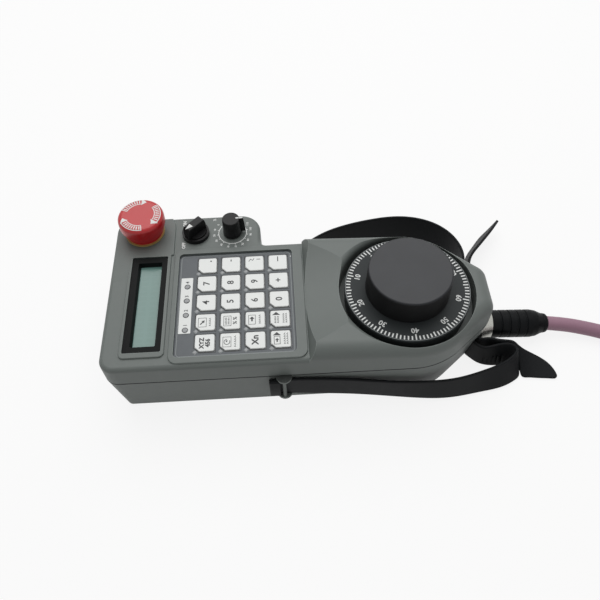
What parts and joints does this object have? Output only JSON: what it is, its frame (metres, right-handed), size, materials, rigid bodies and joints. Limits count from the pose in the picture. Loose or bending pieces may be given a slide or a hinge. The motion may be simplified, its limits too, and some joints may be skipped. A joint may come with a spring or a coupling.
{
  "type": "handheld operator panel",
  "caption": "Handheld machine operator panel with emergency stop, selector and override switches, display, keypad, handwheel dial, cable and hand straps.",
  "frame": {"origin": "where the handwheel's axis meets the plane of the rear case's flat back", "axes": "+Z out of the operating face along the handwheel's axis, +X towards the cable, +Y towards the emergency stop's side"},
  "size_m": [0.5139, 0.2399, 0.0795],
  "materials": {
    "case_grey": "moulded, satin",
    "black_rubber": "matt",
    "steel": "plain",
    "board_green": "solder mask",
    "black_plastic": "satin",
    "lcd": "clear coated",
    "film_grey": "fine texture",
    "key_white": "fine texture",
    "lamp_grey": "clear",
    "estop_red": "semi gloss",
    "collar_yellow": "semi gloss",
    "knob_black": "satin",
    "dial_grey": "satin",
    "cap_black": "polished",
    "nickel": "nickel plated",
    "cable_mauve": "smooth jacket"
  },
  "bodies": {
    "panel": {"front_case": "case_grey", "rear_case": "case_grey", "strap_near": "black_rubber", "strap_far": "black_rubber", "case_gasket": "black_rubber", "case_screws": "steel", "strap_pins": "steel", "wheel_bearings": "steel", "lcd_frame": "steel", "estop_spring": "steel", "panel_nuts": "steel", "main_board": "board_green", "lcd_board": "board_green", "key_board": "board_green", "display_bezel": "black_plastic", "estop_contacts": "black_plastic", "selector_block": "black_plastic", "selector_bezel": "black_plastic", "override_switch": "black_plastic", "encoder_housing": "black_plastic", "cable_connector": "black_plastic", "cable_plug": "black_plastic", "cable_ties": "black_plastic", "lcd_glass": "lcd", "key_overlay": "film_grey", "status_strip": "key_white", "panel_lamps": "lamp_grey", "estop_barrel": "estop_red", "estop_collar": "collar_yellow", "cable_receptacle": "nickel", "cable": "cable_mauve", "cable_coil": "cable_mauve"},
    "handwheel": {"handwheel_dial": "dial_grey", "handwheel_cap": "cap_black", "handwheel_shaft": "steel", "encoder_disc": "steel"},
    "estop_plunger": {"estop_stem": "black_plastic"},
    "estop_button": {"estop_head": "estop_red"},
    "selector": {"selector_knob": "knob_black"},
    "override": {"override_knob": "knob_black"},
    "key_r1c1": {"key_r1c1": "key_white"},
    "key_r1c2": {"key_r1c2": "key_white"},
    "key_r1c3": {"key_r1c3": "key_white"},
    "key_r1c4": {"key_r1c4": "key_white"},
    "key_r2c1": {"key_r2c1": "key_white"},
    "key_r2c2": {"key_r2c2": "key_white"},
    "key_r2c3": {"key_r2c3": "key_white"},
    "key_r2c4": {"key_r2c4": "key_white"},
    "key_r3c1": {"key_r3c1": "key_white"},
    "key_r3c2": {"key_r3c2": "key_white"},
    "key_r3c3": {"key_r3c3": "key_white"},
    "key_r3c4": {"key_r3c4": "key_white"},
    "key_r4c1": {"key_r4c1": "key_white"},
    "key_r4c2": {"key_r4c2": "key_white"},
    "key_r4c3": {"key_r4c3": "key_white"},
    "key_r4c4": {"key_r4c4": "key_white"},
    "key_r5c1": {"key_r5c1": "key_white"},
    "key_r5c2": {"key_r5c2": "key_white"},
    "key_r5c3": {"key_r5c3": "key_white"},
    "key_r5c4": {"key_r5c4": "key_white"}
  },
  "joints": [
    {"name": "handwheel_turn", "type": "hinge", "parent": "panel", "child": "handwheel", "pos_m": [0, 0, 0.061], "axis": [0, 0, 1], "continuous": true},
    {"name": "estop_press", "type": "slide", "parent": "panel", "child": "estop_plunger", "axis": [0, 0, -1], "range_m": [0, 0.0035], "stiffness_N_per_m": 1500, "springref_m": -0.003, "deforming": ["estop_spring"]},
    {"name": "estop_twist", "type": "hinge", "parent": "estop_plunger", "child": "estop_button", "pos_m": [-0.1722, 0.0615, 0.066], "axis": [0, 0, 1], "range_deg": [-40, 0], "stiffness_Nm_per_rad": 0.15, "springref_deg": 5.73},
    {"name": "selector_turn", "type": "hinge", "parent": "panel", "child": "selector", "pos_m": [-0.1372, 0.0582, 0.06], "axis": [0, 0, 1], "range_deg": [-90, 0]},
    {"name": "override_turn", "type": "hinge", "parent": "panel", "child": "override", "pos_m": [-0.112, 0.0578, 0.06], "axis": [0, 0, 1], "range_deg": [-168.75, 168.75]},
    {"name": "key_r1c1_press", "type": "slide", "parent": "panel", "child": "key_r1c1", "axis": [0, 0, -1], "range_m": [0, 0.0005], "stiffness_N_per_m": 2000, "springref_m": -0.0005},
    {"name": "key_r1c2_press", "type": "slide", "parent": "panel", "child": "key_r1c2", "axis": [0, 0, -1], "range_m": [0, 0.0005], "stiffness_N_per_m": 2000, "springref_m": -0.0005},
    {"name": "key_r1c3_press", "type": "slide", "parent": "panel", "child": "key_r1c3", "axis": [0, 0, -1], "range_m": [0, 0.0005], "stiffness_N_per_m": 2000, "springref_m": -0.0005},
    {"name": "key_r1c4_press", "type": "slide", "parent": "panel", "child": "key_r1c4", "axis": [0, 0, -1], "range_m": [0, 0.0005], "stiffness_N_per_m": 2000, "springref_m": -0.0005},
    {"name": "key_r2c1_press", "type": "slide", "parent": "panel", "child": "key_r2c1", "axis": [0, 0, -1], "range_m": [0, 0.0005], "stiffness_N_per_m": 2000, "springref_m": -0.0005},
    {"name": "key_r2c2_press", "type": "slide", "parent": "panel", "child": "key_r2c2", "axis": [0, 0, -1], "range_m": [0, 0.0005], "stiffness_N_per_m": 2000, "springref_m": -0.0005},
    {"name": "key_r2c3_press", "type": "slide", "parent": "panel", "child": "key_r2c3", "axis": [0, 0, -1], "range_m": [0, 0.0005], "stiffness_N_per_m": 2000, "springref_m": -0.0005},
    {"name": "key_r2c4_press", "type": "slide", "parent": "panel", "child": "key_r2c4", "axis": [0, 0, -1], "range_m": [0, 0.0005], "stiffness_N_per_m": 2000, "springref_m": -0.0005},
    {"name": "key_r3c1_press", "type": "slide", "parent": "panel", "child": "key_r3c1", "axis": [0, 0, -1], "range_m": [0, 0.0005], "stiffness_N_per_m": 2000, "springref_m": -0.0005},
    {"name": "key_r3c2_press", "type": "slide", "parent": "panel", "child": "key_r3c2", "axis": [0, 0, -1], "range_m": [0, 0.0005], "stiffness_N_per_m": 2000, "springref_m": -0.0005},
    {"name": "key_r3c3_press", "type": "slide", "parent": "panel", "child": "key_r3c3", "axis": [0, 0, -1], "range_m": [0, 0.0005], "stiffness_N_per_m": 2000, "springref_m": -0.0005},
    {"name": "key_r3c4_press", "type": "slide", "parent": "panel", "child": "key_r3c4", "axis": [0, 0, -1], "range_m": [0, 0.0005], "stiffness_N_per_m": 2000, "springref_m": -0.0005},
    {"name": "key_r4c1_press", "type": "slide", "parent": "panel", "child": "key_r4c1", "axis": [0, 0, -1], "range_m": [0, 0.0005], "stiffness_N_per_m": 2000, "springref_m": -0.0005},
    {"name": "key_r4c2_press", "type": "slide", "parent": "panel", "child": "key_r4c2", "axis": [0, 0, -1], "range_m": [0, 0.0005], "stiffness_N_per_m": 2000, "springref_m": -0.0005},
    {"name": "key_r4c3_press", "type": "slide", "parent": "panel", "child": "key_r4c3", "axis": [0, 0, -1], "range_m": [0, 0.0005], "stiffness_N_per_m": 2000, "springref_m": -0.0005},
    {"name": "key_r4c4_press", "type": "slide", "parent": "panel", "child": "key_r4c4", "axis": [0, 0, -1], "range_m": [0, 0.0005], "stiffness_N_per_m": 2000, "springref_m": -0.0005},
    {"name": "key_r5c1_press", "type": "slide", "parent": "panel", "child": "key_r5c1", "axis": [0, 0, -1], "range_m": [0, 0.0005], "stiffness_N_per_m": 2000, "springref_m": -0.0005},
    {"name": "key_r5c2_press", "type": "slide", "parent": "panel", "child": "key_r5c2", "axis": [0, 0, -1], "range_m": [0, 0.0005], "stiffness_N_per_m": 2000, "springref_m": -0.0005},
    {"name": "key_r5c3_press", "type": "slide", "parent": "panel", "child": "key_r5c3", "axis": [0, 0, -1], "range_m": [0, 0.0005], "stiffness_N_per_m": 2000, "springref_m": -0.0005},
    {"name": "key_r5c4_press", "type": "slide", "parent": "panel", "child": "key_r5c4", "axis": [0, 0, -1], "range_m": [0, 0.0005], "stiffness_N_per_m": 2000, "springref_m": -0.0005}
  ]
}
